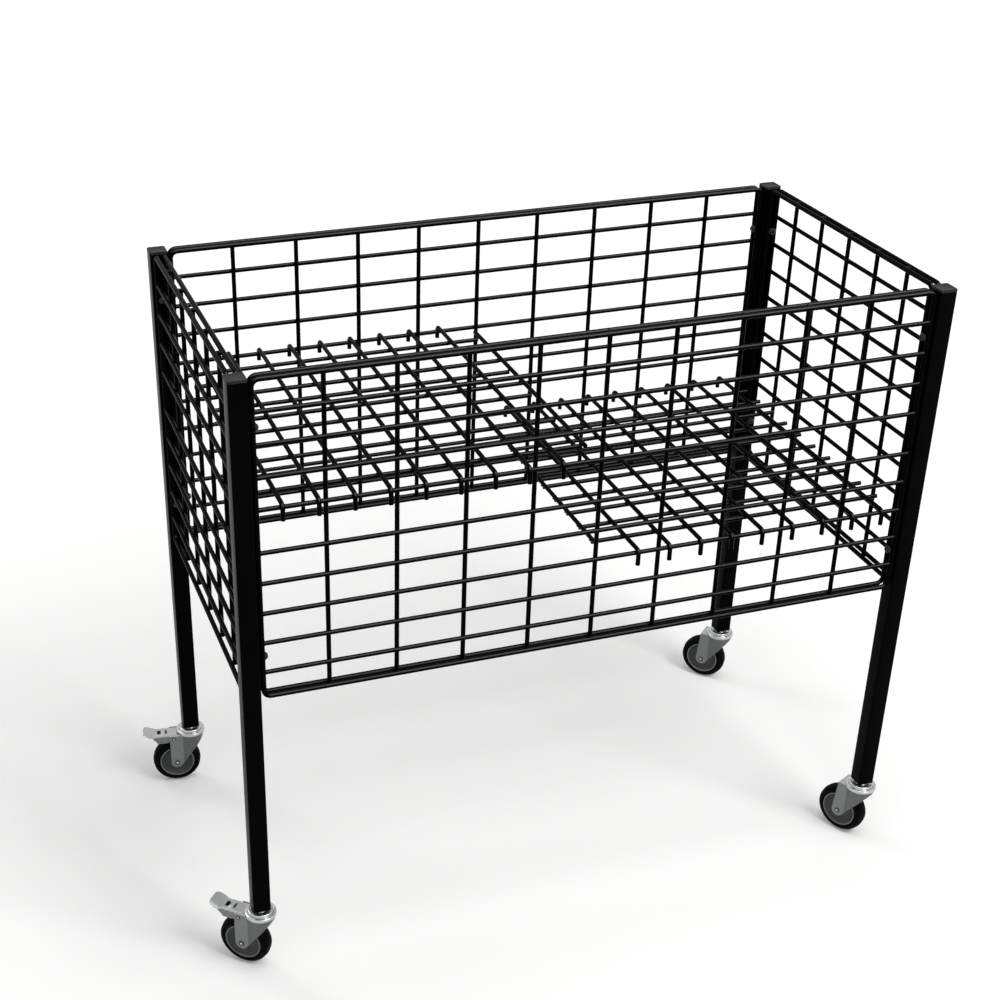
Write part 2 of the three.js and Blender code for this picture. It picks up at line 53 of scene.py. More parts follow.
# an input is a value, a socket, another node (its first output) or a list of nodes to join
def setInputs(tree, node, inputs):
    for key, value in inputs.items():
        for item in value if isinstance(value, list) else [value]:
            if isinstance(item, bpy.types.Node):
                item = next(socket for socket in item.outputs if socket.enabled)
            if isinstance(item, bpy.types.NodeSocket):
                tree.links.new(item, node.inputs[key])
            else:
                node.inputs[key].default_value = item


# one node with its settings and links
def addNode(tree, kind, inputs=None, **settings):
    node = tree.nodes.new(kind)
    for name, value in settings.items():
        setattr(node, name, value)
    setInputs(tree, node, inputs or {})
    return node


def linearColour(hexCode):
    parts = [int(hexCode[i:i + 2], 16) / 255 for i in (1, 3, 5)]
    return tuple(p / 12.92 if p <= 0.04045 else ((p + 0.055) / 1.055) ** 2.4 for p in parts) + (1.0,)


# a noise of patches mixes two colours and two roughnesses, and a finer grain gives a bump: patch and grain are a size
# in metres and a detail, the grain's size for each axis, and bump is a strength and a height
def makeSurface(name, look):
    material = bpy.data.materials.new(name)
    material.use_nodes = True
    tree = material.node_tree
    shader = tree.nodes["Principled BSDF"]
    place = addNode(tree, "ShaderNodeTexCoord").outputs["Object"]
    size, detail = look["patch"]
    patch = addNode(tree, "ShaderNodeTexNoise", {
        "Vector": place, "Scale": 1 / size, "Detail": detail, "Distortion": look.get("swirl", 0.0)})
    low, high = look.get("contrast", (0.0, 1.0))
    share = addNode(tree, "ShaderNodeMapRange", {"Value": patch, "From Min": low, "From Max": high})
    first, second = (linearColour(hexCode) for hexCode in look["colours"])
    shade = addNode(tree, "ShaderNodeMix", {"Factor": share, 6: first, 7: second}, data_type="RGBA")
    smooth, rough = look["rough"]
    gloss = addNode(tree, "ShaderNodeMapRange", {"Value": patch, "To Min": smooth, "To Max": rough})
    setInputs(tree, shader, {
        "Base Color": shade, "Roughness": gloss, "Metallic": look.get("metallic", 0.0),
        "Specular IOR Level": look.get("specular", 0.5)})
    if "grain" in look:
        (lengths, detail), (strength, height) = look["grain"], look["bump"]
        drawn = addNode(tree, "ShaderNodeMapping", {"Vector": place, "Scale": tuple(1 / length for length in lengths)})
        grain = addNode(tree, "ShaderNodeTexNoise", {"Vector": drawn, "Scale": 1.0, "Detail": detail})
        bump = addNode(tree, "ShaderNodeBump", {"Height": grain, "Strength": strength, "Distance": height})
        setInputs(tree, shader, {"Normal": bump})
    return material


# Polyester powder coat on steel: near-black satin, with a fine orange peel that breaks up the highlights, and a painted
# highlight along the wires' shoulders
powderLook = {"colours": ("#020202", "#060606"), "patch": (0.06, 4.0), "rough": (0.2, 0.32), "specular": 0.012,
              "grain": ((0.0014, 0.0014, 0.0014), 2.0), "bump": (0.15, 0.0003),
              # the last three give the painted highlight on the wires' shoulders: its colour, the span of the shoulder
              # mask and its strength
              "rubbed": "#6c6e6f", "shoulder": (0.34, 0.5), "rub": 0.48}
powderCoat = makeSurface("powder_coat_black", powderLook)

# painted highlight: a paler line along the upper shoulders of the long wires and rims that run left to right, where the
# normal leans up and to the front or back, standing in for the sheen of a soft lamp overhead
tree = powderCoat.node_tree
shader = tree.nodes["Principled BSDF"]
plain = shader.inputs["Base Color"].links[0].from_socket
facing = addNode(tree, "ShaderNodeNewGeometry").outputs["Normal"]
turned = addNode(tree, "ShaderNodeSeparateXYZ", {"Vector": facing}).outputs
sideways = addNode(tree, "ShaderNodeMath", {0: turned["Y"]}, operation="ABSOLUTE")
shoulder = addNode(tree, "ShaderNodeMath", {0: turned["Z"], 1: sideways}, operation="MULTIPLY")
rub = addNode(tree, "ShaderNodeMapRange", {
    "Value": shoulder, "From Min": powderLook["shoulder"][0], "From Max": powderLook["shoulder"][1],
    "To Max": powderLook["rub"]})
rubbed = addNode(tree, "ShaderNodeMix", {
    "Factor": rub, 6: plain, 7: linearColour(powderLook["rubbed"])}, data_type="RGBA")
setInputs(tree, shader, {"Base Color": rubbed})

# Polyethylene tube cap: soft dark grey, with paler rubbed patches and the mould's fine spark texture, drawn coarser
# than it is so that it shows
capLook = {"colours": ("#0e0f0f", "#191a1a"), "patch": (0.008, 5.0), "rough": (0.5, 0.68), "specular": 0.2,
           "grain": ((0.0006, 0.0006, 0.0006), 2.0), "bump": (0.25, 0.0002)}
capPlastic = makeSurface("cap_polyethylene", capLook)

# Black-oxide screw: dark oiled metal, browner and duller where the oxide is thin
oxideLook = {"colours": ("#0b0b0c", "#1d1a18"), "patch": (0.0015, 4.0), "rough": (0.25, 0.5), "metallic": 0.6}
screwBlack = makeSurface("screw_black_oxide", oxideLook)

# Zinc plate on pressed steel: pale blue-grey metal, clouded by the bath, with faint drawing lines down the part, drawn
# wider than they are so that they show
zincLook = {"patch": (0.006, 6.0), "grain": ((0.0007, 0.0007, 0.012), 3.0), "bump": (0.12, 0.0002), "metallic": 1.0}
# pedal, skirt and inner are lit and shaded copies of the same plate: pedal is paler, painted light on faces that look
# up; skirt is darker, a painted reflection on the fork's wrapped front; inner is darkest, painted shade under the
# pedal's openings
zincShades = {
    "race": {"colours": ("#c9cbcc", "#a3a7a9"), "rough": (0.14, 0.26)},
    "fork": {"colours": ("#7e8280", "#6c706e"), "rough": (0.32, 0.46)},
    "skirt": {"colours": ("#6a6e6c", "#575b59"), "rough": (0.3, 0.42)},
    "pedal": {"colours": ("#b2b5b4", "#9a9e9d"), "rough": (0.3, 0.44)},
    "ring": {"colours": ("#525554", "#414443"), "rough": (0.4, 0.55)},
    "inner": {"colours": ("#3c3e3e", "#2c2e2e"), "rough": (0.4, 0.55)}}
zinc = {name: makeSurface("zinc_plate_" + name, {**zincLook, **shade}) for name, shade in zincShades.items()}

# Solid rubber tyre: matt black, with floor dust in the texture and slightly polished patches; its grain is drawn
# coarser than it is so that it shows
tyreLook = {"colours": ("#030303", "#0b0a0a"), "patch": (0.012, 6.0), "contrast": (0.45, 0.75), "rough": (0.42, 0.7),
            "specular": 0.03, "grain": ((0.0008, 0.0008, 0.0008), 2.0), "bump": (0.2, 0.0002)}
tyreRubber = makeSurface("tyre_rubber", tyreLook)

# Polypropylene wheel centre: grey, slightly waxy, with faint flow marks; its rim is paler
wheelLook = {"patch": (0.01, 4.0), "swirl": 0.8, "rough": (0.4, 0.58)}
wheelShades = {"centre": {"colours": ("#1f2122", "#2b2d2e")}, "rim": {"colours": ("#6c6e6f", "#7e8081")}}
wheelPlastic = {name: makeSurface("wheel_polypropylene_" + name, {**wheelLook, **shade})
                for name, shade in wheelShades.items()}
print("materials ready")


# a Geometry Nodes tree with named inputs of each kind; returns the tree and its input sockets by name
def startTree(name, labels):
    tree = bpy.data.node_groups.new(name, "GeometryNodeTree")
    for kind, names in labels.items():
        for label in names:
            tree.interface.new_socket(label, in_out="INPUT", socket_type="NodeSocket" + kind)
    tree.interface.new_socket("Geometry", in_out="OUTPUT", socket_type="NodeSocketGeometry")
    return tree, addNode(tree, "NodeGroupInput").outputs


def endTree(tree, parts, material):
    joinedParts = addNode(tree, "GeometryNodeJoinGeometry", {"Geometry": parts})
    real = addNode(tree, "GeometryNodeRealizeInstances", {"Geometry": joinedParts})
    smooth = addNode(tree, "GeometryNodeSetShadeSmooth", {"Geometry": real})
    painted = addNode(tree, "GeometryNodeSetMaterial", {"Geometry": smooth, "Material": material})
    addNode(tree, "NodeGroupOutput", {"Geometry": painted})


sharpAngles = {"grown": 40, "turned": 35, "sheet": 38, "cut": 60}  # degrees past which an edge stays sharp or is cut


# runs a tree once and keeps its result as a plain mesh, moved to its place
def growPiece(name, tree, sizes, toPlace, start=None):
    piece = bpy.data.objects.new(name, start or bpy.data.meshes.new(name))
    scene.collection.objects.link(piece)
    modifier = piece.modifiers.new("build", "NODES")
    modifier.node_group = tree
    for item in tree.interface.items_tree:
        if item.in_out == "INPUT" and item.name in sizes:
            value = sizes[item.name]
            modifier[item.identifier] = [float(v) for v in value] if isinstance(value, tuple) else value
    grown = bpy.data.meshes.new_from_object(piece.evaluated_get(bpy.context.evaluated_depsgraph_get()))
    piece.modifiers.remove(modifier)
    grown.transform(toPlace)
    grown.set_sharp_from_angle(angle=math.radians(sharpAngles["grown"]))
    piece.data = grown
    return piece


# Welded wire panels: two rod loops clamp the uprights, the rows cross them on the outside in a lower and an upper
# group, and every crossing has a small weld bead; coats are what the powder adds on each side
panelLook = {"rod": 0.007, "rimCoat": 0.0002, "wire": 0.006, "coat": 0.0004, "corner": 0.0105,
             "loopOffset": 0.0062, "rowOffset": 0.00605, "uprightInset": 0.0015,
             "columnPitch": {"front": 0.1, "back": 0.1, "left": 0.08, "right": 0.08}, "rowPitch": 0.0472,
             "lowerRows": 5, "upperRows": 4, "lowestRow": 0.0438, "highestRow": 0.0488,
             "bead": 0.0022, "beadStretch": (1.55, 1.0, 1.55), "endBead": 0.0038, "endStretch": (0.55, 1.0, 1.0),
             "flashAt": 0.25, "flashStretch": (0.75, 1.07, 1.07), "sides": 16, "cornerSteps": 7}
tree, size = startTree("welded_wire_panel", {
    "Float": ("Rim width", "Rim height", "Rod radius", "Corner", "Wire radius", "Bead", "End bead"),
    "Int": ("Columns", "Lower rows", "Upper rows"),
    "Vector": ("Loop offset", "Upright end", "Row end", "First column", "Column step", "Lowest row", "Lowest upper row",
               "Row step", "Crossing", "Rim weld", "Row weld", "Butt weld")})
rodRound, wireRound = [addNode(tree, "GeometryNodeCurvePrimitiveCircle", {
    "Resolution": panelLook["sides"], "Radius": size[radius]}) for radius in ("Rod radius", "Wire radius")]
bead, endBead = [addNode(tree, "GeometryNodeMeshIcoSphere", {"Radius": size[radius], "Subdivisions": 2})
                 for radius in ("Bead", "End bead")]
flash = addNode(tree, "GeometryNodeMeshIcoSphere", {"Radius": size["Rod radius"], "Subdivisions": 3})
bothX, bothY = ((1, 1, 1), (-1, 1, 1)), ((1, 1, 1), (1, -1, 1))
bothYZ = bothY + ((1, 1, -1), (1, -1, -1))

# weld metal at a point and at its mirror points
welds = {}
for label, metal, mirrors, stretch in (("Butt weld", flash, bothX, "flashStretch"),
                                       ("Rim weld", bead, bothYZ, "beadStretch"),
                                       ("Row weld", endBead, bothX, "endStretch")):
    welds[label] = []
    for signs in mirrors:
        point = addNode(tree, "ShaderNodeVectorMath", {0: size[label], 1: signs}, operation="MULTIPLY")
        welds[label].append(addNode(tree, "GeometryNodeTransform", {
            "Geometry": metal, "Translation": point, "Scale": panelLook[stretch]}))

# a loop: a bent rim with a low ring of flash at its two butt welds
rim = addNode(tree, "GeometryNodeCurvePrimitiveQuadrilateral", {
    "Width": size["Rim width"], "Height": size["Rim height"]})
bent = addNode(tree, "GeometryNodeFilletCurve", {
    "Curve": rim, "Radius": size["Corner"], "Count": panelLook["cornerSteps"]}, mode="POLY")
stood = addNode(tree, "GeometryNodeTransform", {"Geometry": bent, "Rotation": (math.pi / 2, 0, 0)})
rimRod = addNode(tree, "GeometryNodeCurveToMesh", {"Curve": stood, "Profile Curve": rodRound})
loop = addNode(tree, "GeometryNodeJoinGeometry", {"Geometry": [rimRod] + welds["Butt weld"]})
parts = []
for signs in bothY:
    offset = addNode(tree, "ShaderNodeVectorMath", {0: size["Loop offset"], 1: signs}, operation="MULTIPLY")
    parts.append(addNode(tree, "GeometryNodeTransform", {"Geometry": loop, "Translation": offset}))

# straight wires, from one end to its mirror point
wires = {}
for label in ("Upright end", "Row end"):
    start = addNode(tree, "ShaderNodeVectorMath", {0: size[label], 1: (-1, -1, -1)}, operation="MULTIPLY")
    line = addNode(tree, "GeometryNodeCurvePrimitiveLine", {"Start": start, "End": size[label]})
    wires[label] = addNode(tree, "GeometryNodeCurveToMesh", {
        "Curve": line, "Profile Curve": wireRound, "Fill Caps": True})
columns = addNode(tree, "GeometryNodeMeshLine", {
    "Count": size["Columns"], "Start Location": size["First column"], "Offset": size["Column step"]})
upright = addNode(tree, "GeometryNodeJoinGeometry", {"Geometry": [wires["Upright end"]] + welds["Rim weld"]})
parts.append(addNode(tree, "GeometryNodeInstanceOnPoints", {"Points": columns, "Instance": upright}))

# a row carries its end beads and a bead at each upright
crossBead = addNode(tree, "GeometryNodeTransform", {
    "Geometry": bead, "Translation": size["Crossing"], "Scale": panelLook["beadStretch"]})
crossings = addNode(tree, "GeometryNodeInstanceOnPoints", {"Points": columns, "Instance": crossBead})
row = addNode(tree, "GeometryNodeJoinGeometry", {"Geometry": [wires["Row end"], crossings] + welds["Row weld"]})
for first, count in (("Lowest row", "Lower rows"), ("Lowest upper row", "Upper rows")):
    points = addNode(tree, "GeometryNodeMeshLine", {
        "Count": size[count], "Start Location": size[first], "Offset": size["Row step"]})
    parts.append(addNode(tree, "GeometryNodeInstanceOnPoints", {"Points": points, "Instance": row}))
endTree(tree, parts, powderCoat)

for name, turn in (("front", 0), ("right", 90), ("back", 180), ("left", 270)):
    low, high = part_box("panel_" + name)
    span, middle = high - low, (low + high) / 2
    length, height = max(span.x, span.y), span.z
    rod = panelLook["rod"] + 2 * panelLook["rimCoat"]
    wire = panelLook["wire"] + 2 * panelLook["coat"]
    pitch, rowPitch = panelLook["columnPitch"][name], panelLook["rowPitch"]
    columnCount = round((length - panelLook["rod"]) / pitch) - 1
    outward = -panelLook["rowOffset"]
    lowestUpper = height / 2 - panelLook["highestRow"] - (panelLook["upperRows"] - 1) * rowPitch
    sizes = {"Rim width": length - rod, "Rim height": height - rod, "Rod radius": rod / 2, "Wire radius": wire / 2,
             "Corner": panelLook["corner"], "Bead": panelLook["bead"], "End bead": panelLook["endBead"],
             "Columns": columnCount, "Lower rows": panelLook["lowerRows"], "Upper rows": panelLook["upperRows"],
             "Loop offset": (0, panelLook["loopOffset"], 0),
             "Upright end": (0, 0, height / 2 - panelLook["uprightInset"]), "Row end": ((length - rod) / 2, 0, 0),
             "First column": ((1 - columnCount) * pitch / 2, 0, 0), "Column step": (pitch, 0, 0),
             "Lowest row": (0, outward, panelLook["lowestRow"] - height / 2),
             "Lowest upper row": (0, outward, lowestUpper), "Row step": (0, 0, rowPitch),
             "Crossing": (0, -wire / 2 - outward, 0), "Row weld": (length / 2 - rod, 0, 0),
             "Rim weld": (0, panelLook["loopOffset"] / 2, (height - rod) / 2),
             "Butt weld": (length * panelLook["flashAt"], 0, (height - rod) / 2)}
    panel = growPiece("wire_panel_" + name, tree, sizes,
                      Matrix.Translation(middle) @ Matrix.Rotation(math.radians(turn), 4, "Z"))
    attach(panel, "frame")
    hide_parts("panel_" + name)
print("panels welded")

# Shelf halves: hooked wires over cross wires, one straight wire along the inner edge, beads at the crossings; trims
# are where the wires end short of the solid's box
shelfLook = {"wire": 0.006, "coat": 0.0004, "hookRadius": 0.0062, "frontTrim": 0.005, "backTrim": 0.009, "wires": 9,
             "wirePitch": 0.05, "firstWire": 0.0125, "nearEnd": 0.0045, "crosses": 10, "crossPitch": 0.046,
             "stubTrim": 0.009, "edgeOverhang": 0.015, "bead": 0.0021, "beadStretch": (1.5, 1.5, 1.0), "sides": 14,
             "hookSteps": 6}
tree, size = startTree("hooked_wire_shelf", {
    "Float": ("Wire radius", "Hook radius", "Bead"), "Int": ("Wires", "Crosses", "Beads"),
    "Vector": ("Front tip", "Front bend", "Back bend", "Back tip", "Edge start", "Edge end", "Cross start", "Cross end",
               "First wire", "Wire step", "First cross", "Cross step", "First bead")})
wireRound = addNode(tree, "GeometryNodeCurvePrimitiveCircle", {
    "Resolution": shelfLook["sides"], "Radius": size["Wire radius"]})
hookLine = addNode(tree, "GeometryNodeCurvePrimitiveQuadrilateral", {
    "Point 1": size["Front tip"], "Point 2": size["Front bend"], "Point 3": size["Back bend"],
    "Point 4": size["Back tip"]}, mode="POINTS")
openLine = addNode(tree, "GeometryNodeSetSplineCyclic", {"Geometry": hookLine, "Cyclic": False})
hooked = addNode(tree, "GeometryNodeFilletCurve", {
    "Curve": openLine, "Radius": size["Hook radius"], "Count": shelfLook["hookSteps"]}, mode="POLY")
edgeLine, crossLine = [addNode(tree, "GeometryNodeCurvePrimitiveLine", {
    "Start": size[label + " start"], "End": size[label + " end"]}) for label in ("Edge", "Cross")]
hookWire, edgeWire, crossWire = [addNode(tree, "GeometryNodeCurveToMesh", {
    "Curve": line, "Profile Curve": wireRound, "Fill Caps": True}) for line in (hooked, edgeLine, crossLine)]
bead = addNode(tree, "GeometryNodeMeshIcoSphere", {"Radius": size["Bead"], "Subdivisions": 2})
beadPoints = addNode(tree, "GeometryNodeMeshLine", {
    "Count": size["Beads"], "Start Location": size["First bead"], "Offset": size["Wire step"]})
beads = addNode(tree, "GeometryNodeInstanceOnPoints", {
    "Points": beadPoints, "Instance": bead, "Scale": shelfLook["beadStretch"]})
cross = addNode(tree, "GeometryNodeJoinGeometry", {"Geometry": [crossWire, beads]})
parts = [edgeWire]
for thing, count, first, step in ((hookWire, "Wires", "First wire", "Wire step"),
                                  (cross, "Crosses", "First cross", "Cross step")):
    points = addNode(tree, "GeometryNodeMeshLine", {
        "Count": size[count], "Start Location": size[first], "Offset": size[step]})
    parts.append(addNode(tree, "GeometryNodeInstanceOnPoints", {"Points": points, "Instance": thing}))
endTree(tree, parts, powderCoat)

for name, sign in (("shelf_left", -1), ("shelf_right", 1)):
    low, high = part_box(name)
    innerEnd, outerEnd = (high.x, low.x) if sign < 0 else (low.x, high.x)
    centre = innerEnd - sign * shelfLook["nearEnd"]
    hook, wire = shelfLook["hookRadius"], shelfLook["wire"] + 2 * shelfLook["coat"]
    rowHeight = high.z - hook - shelfLook["wire"] / 2
    drop = rowHeight - low.z
    half = (high.y - low.y - shelfLook["wire"]) / 2
    halfCross = (shelfLook["crosses"] - 1) * shelfLook["crossPitch"] / 2
    edge, pitch = sign * shelfLook["firstWire"], sign * shelfLook["wirePitch"]
    reach = halfCross + shelfLook["edgeOverhang"]
    sizes = {"Wire radius": wire / 2, "Hook radius": hook, "Bead": shelfLook["bead"], "Wires": shelfLook["wires"],
             "Crosses": shelfLook["crosses"], "Beads": shelfLook["wires"] + 1,
             "Front tip": (0, -half, shelfLook["frontTrim"] - drop), "Front bend": (0, -half, hook),
             "Back bend": (0, half, hook), "Back tip": (0, half, shelfLook["backTrim"] - drop),
             "Edge start": (edge, -reach, hook), "Edge end": (edge, reach, hook),
             "Cross start": (innerEnd - centre + sign * shelfLook["stubTrim"], 0, 0),
             "Cross end": (outerEnd - centre, 0, 0), "First wire": (edge + pitch, 0, 0), "Wire step": (pitch, 0, 0),
             "First cross": (0, -halfCross, hook - wire), "Cross step": (0, shelfLook["crossPitch"], 0),
             "First bead": (edge, 0, wire / 2)}
    shelf = growPiece("wire_" + name, tree, sizes, Matrix.Translation((centre, (low.y + high.y) / 2, rowHeight)))
    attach(shelf, name)
    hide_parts(name)
print("shelves hooked on")


# rounds the corners of a line of (x, y, radius) points
def roundCorners(points, steps=5, closed=False):
    made = []
    for i, (x, y, radius) in enumerate(points):
        here = Vector((x, y))
        if radius == 0 or (not closed and i in (0, len(points) - 1)):
            made.append(here)
            continue
        before = Vector(points[i - 1][:2]) - here
        after = Vector(points[(i + 1) % len(points)][:2]) - here
        half = before.angle(after) / 2
        reach = min(radius / math.tan(half), before.length * 0.49, after.length * 0.49)
        bend = reach * math.tan(half)
        centre = here + (before.normalized() + after.normalized()).normalized() * (bend / math.sin(half))
        first = here + before.normalized() * reach - centre
        sweep = first.angle_signed(here + after.normalized() * reach - centre)
        for step in range(steps + 1):
            made.append(centre + Matrix.Rotation(-sweep * step / steps, 2) @ first)
    return made


# a rounded profile from its half, mirrored across the middle
def mirrorProfile(half, steps):
    return roundCorners([(r, -y, corner) for r, y, corner in half] + half[::-1], steps)


# faces between rings of points; a ring of one point closes an end
def skinRings(shape, rings, closed=False):
    made = [[shape.verts.new(point) for point in ring] for ring in rings]
    pairs = list(zip(made, made[1:])) + ([(made[-1], made[0])] if closed else [])
    count = max(len(ring) for ring in made)
    for low, high in pairs:
        for i in range(count):
            j = (i + 1) % count
            corners = [low[i % len(low)], low[j % len(low)], high[j % len(high)], high[i % len(high)]]
            shape.faces.new(list(dict.fromkeys(corners)))


# turns (radius, height) points about Z
def turnProfile(shape, profile, sides=56, closed=False):
    rings = []
    for radius, height in profile:
        angles = [2 * math.pi * i / sides for i in range(sides if radius > 1e-7 else 1)]
        rings.append([(radius * math.cos(angle), radius * math.sin(angle), height) for angle in angles])
    skinRings(shape, rings, closed)


def makeMesh(name, shape, materials):
    bmesh.ops.recalc_face_normals(shape, faces=shape.faces)
    mesh = bpy.data.meshes.new(name)
    shape.to_mesh(mesh)
    shape.free()
    for material in materials:
        mesh.materials.append(material)
    mesh.shade_smooth()
    mesh.set_sharp_from_angle(angle=math.radians(sharpAngles["turned"]))
    return mesh


# a pressed sheet: the surface thickened inwards, with its cut edges broken
def thicken(mesh, thickness, edge):
    holder = bpy.data.objects.new("sheet", mesh)
    scene.collection.objects.link(holder)
    solid = holder.modifiers.new("thickness", "SOLIDIFY")
    solid.thickness, solid.offset, solid.use_even_offset = thickness, -1, True
    bevel = holder.modifiers.new("edges", "BEVEL")
    bevel.width, bevel.segments = edge, 2
    bevel.limit_method, bevel.angle_limit = "ANGLE", math.radians(sharpAngles["cut"])
    made = bpy.data.meshes.new_from_object(holder.evaluated_get(bpy.context.evaluated_depsgraph_get()))
    bpy.data.objects.remove(holder)
    made.shade_smooth()
    made.set_sharp_from_angle(angle=math.radians(sharpAngles["sheet"]))
    return made


# a copy of a mesh set in its place, riding on a body for a CAD node
def placePiece(name, mesh, toPlace, body, node):
    placed = mesh.copy()
    placed.transform(toPlace)
    piece = bpy.data.objects.new(name, placed)
    scene.collection.objects.link(piece)
    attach(piece, body)
    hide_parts(node)


def squareRing(side, corner, height, steps=6):
    half = side / 2
    square = ((half, -half), (half, half), (-half, half), (-half, -half))
    outline = roundCorners([(x, y, corner) for x, y in square], steps, True)
    return [(point.x, point.y, height) for point in outline]


# Posts: square tube with rounded corners and a broken edge at each end
postLook = {"wall": 0.0015, "corner": 0.0026, "edge": 0.0003}
for corner in cornerNames:
    low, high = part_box("post_" + corner)
    side, tall = high.x - low.x, high.z - low.z
    bore = side - 2 * postLook["wall"]
    bend, edge = postLook["corner"], postLook["edge"]
    boreCorner = bend - postLook["wall"]
    shape = bmesh.new()
    skinRings(shape, [
        squareRing(side - 2 * edge, bend - edge, 0), squareRing(side, bend, edge), squareRing(side, bend, tall - edge),
        squareRing(side - 2 * edge, bend - edge, tall), squareRing(bore, boreCorner, tall),
        squareRing(bore, boreCorner, 0)], True)
    mesh = makeMesh("post_tube", shape, [powderCoat])
    toPlace = Matrix.Translation(((low.x + high.x) / 2, (low.y + high.y) / 2, low.z))
    placePiece("tube_" + corner, mesh, toPlace, "frame", "post_" + corner)

# Caps: a flat moulded plate with a soft edge and a shallow dish, on a tapered plug inside the tube
capShape = {"plate": 0.003, "edge": 0.0008, "underEdge": 0.0003, "corner": 0.0026, "edgeCorner": 0.6,
            "plugGap": 0.0004, "plugDepth": 0.013, "plugCorner": 0.002, "plugTaper": 0.002, "plugStraight": 0.004,
            "dish": 0.0003, "dishRim": 0.005, "dishSlope": 0.0012, "dishCorner": (0.002, 0.0018)}
for corner in cornerNames:
    low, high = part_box("post_cap_" + corner)
    side = high.x - low.x
    under, edge, dish = -capShape["plate"], capShape["edge"], -capShape["dish"]
    plug = side - 2 * postLook["wall"] - capShape["plugGap"]
    plugFoot, plugCorner, bend = under - capShape["plugDepth"], capShape["plugCorner"], capShape["corner"]
    rings = [[(0, 0, plugFoot)], squareRing(plug - capShape["plugTaper"], plugCorner, plugFoot),
             squareRing(plug, plugCorner, under - capShape["plugStraight"]), squareRing(plug, plugCorner, under),
             squareRing(side - 2 * capShape["underEdge"], bend, under),
             squareRing(side, bend, under + capShape["underEdge"]), squareRing(side, bend, -edge)]
    for step in (30, 60, 90):
        inset = edge * (1 - math.cos(math.radians(step)))
        drop = edge * (1 - math.sin(math.radians(step)))
        rings.append(squareRing(side - 2 * inset, bend - inset * capShape["edgeCorner"], -drop))
    dishSide, (rimCorner, dishCorner) = side - capShape["dishRim"], capShape["dishCorner"]
    rings += [squareRing(dishSide, rimCorner, 0), squareRing(dishSide - capShape["dishSlope"], dishCorner, dish),
              [(0, 0, dish)]]
    shape = bmesh.new()
    skinRings(shape, rings)
    mesh = makeMesh("tube_cap", shape, [capPlastic])
    toPlace = Matrix.Translation(((low.x + high.x) / 2, (low.y + high.y) / 2, high.z))
    placePiece("cap_" + corner, mesh, toPlace, "frame", "post_cap_" + corner)
print("posts capped")

# Panel screws: button heads with a hexagon socket, set along the panels' side rods by Geometry Nodes
screwShape = {"radius": 0.0065, "height": 0.005, "underEdge": 0.0003, "flat": 0.0034, "socket": 0.0022,
              "depth": 0.0026, "drillPoint": 0.0006, "shank": 0.0025, "shankLength": 0.012, "sides": 24}
headRadius, headHeight, shank = screwShape["radius"], screwShape["height"], screwShape["shank"]
dome = [(headRadius * math.cos(a), headHeight * math.sin(a))
        for a in (math.radians(step) for step in (0, 14, 28, 42, 54))]
angles = [2 * math.pi * i / screwShape["sides"] for i in range(screwShape["sides"])]
rings = [[(0, 0, -screwShape["shankLength"])]]
for radius, height in [(shank, -screwShape["shankLength"]), (shank, 0), (headRadius - screwShape["underEdge"], 0),
                       *dome, (screwShape["flat"], headHeight)]:
    rings.append([(radius * math.cos(angle), radius * math.sin(angle), height) for angle in angles])
hexagon = []
for angle in angles:
    reach = screwShape["socket"] * math.cos(math.pi / 6) / math.cos((angle % (math.pi / 3)) - math.pi / 6)
    hexagon.append((reach * math.cos(angle), reach * math.sin(angle)))
socketFloor = headHeight - screwShape["depth"]
rings += [[(x, y, height) for x, y in hexagon] for height in (headHeight, socketFloor)]
rings.append([(0, 0, socketFloor - screwShape["drillPoint"])])
shape = bmesh.new()
skinRings(shape, rings)
head = bpy.data.objects.new("screw_head", makeMesh("screw_head", shape, [screwBlack]))
scene.collection.objects.link(head)

screwNodes = sorted(name for name in frame["nodes"] if name.startswith("screw_"))
inward = {"left": (1, 0, 0), "right": (-1, 0, 0), "front": (0, 1, 0), "back": (0, -1, 0)}
seats, ways = [], []
for name in screwNodes:
    low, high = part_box(name)
    way = Vector(inward[name.split("_")[2]])
    top = Vector(high[i] if way[i] > 0 else low[i] if way[i] < 0 else (low[i] + high[i]) / 2 for i in range(3))
    seats.append(top - way * headHeight)
    ways.append(way)
seatMesh = bpy.data.meshes.new("screw_seats")
seatMesh.from_pydata(seats, [], [])
wayData = seatMesh.attributes.new("way", "FLOAT_VECTOR", "POINT").data
wayData.foreach_set("vector", [v for way in ways for v in way])
tree, size = startTree("panel_screws", {"Geometry": ("Seats",), "Object": ("Head",)})
headShape = addNode(tree, "GeometryNodeObjectInfo", {"Object": size["Head"]}).outputs["Geometry"]
wayField = addNode(tree, "GeometryNodeInputNamedAttribute", {"Name": "way"}, data_type="FLOAT_VECTOR")
turned = addNode(tree, "FunctionNodeAlignRotationToVector", {"Vector": wayField}, axis="Z")
placed = addNode(tree, "GeometryNodeInstanceOnPoints", {
    "Points": size["Seats"], "Instance": headShape, "Rotation": turned})
endTree(tree, [placed], screwBlack)
screws = growPiece("panel_screws", tree, {"Head": head}, Matrix.Identity(4), start=seatMesh)
bpy.data.objects.remove(head)
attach(screws, "frame")
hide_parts(*screwNodes)
print("screws set", len(screwNodes))

# Castors, in millimetres from the swivel's axis at the foot of the post: x runs back to the axle, y along it
milli = Matrix.Scale(0.001, 4)

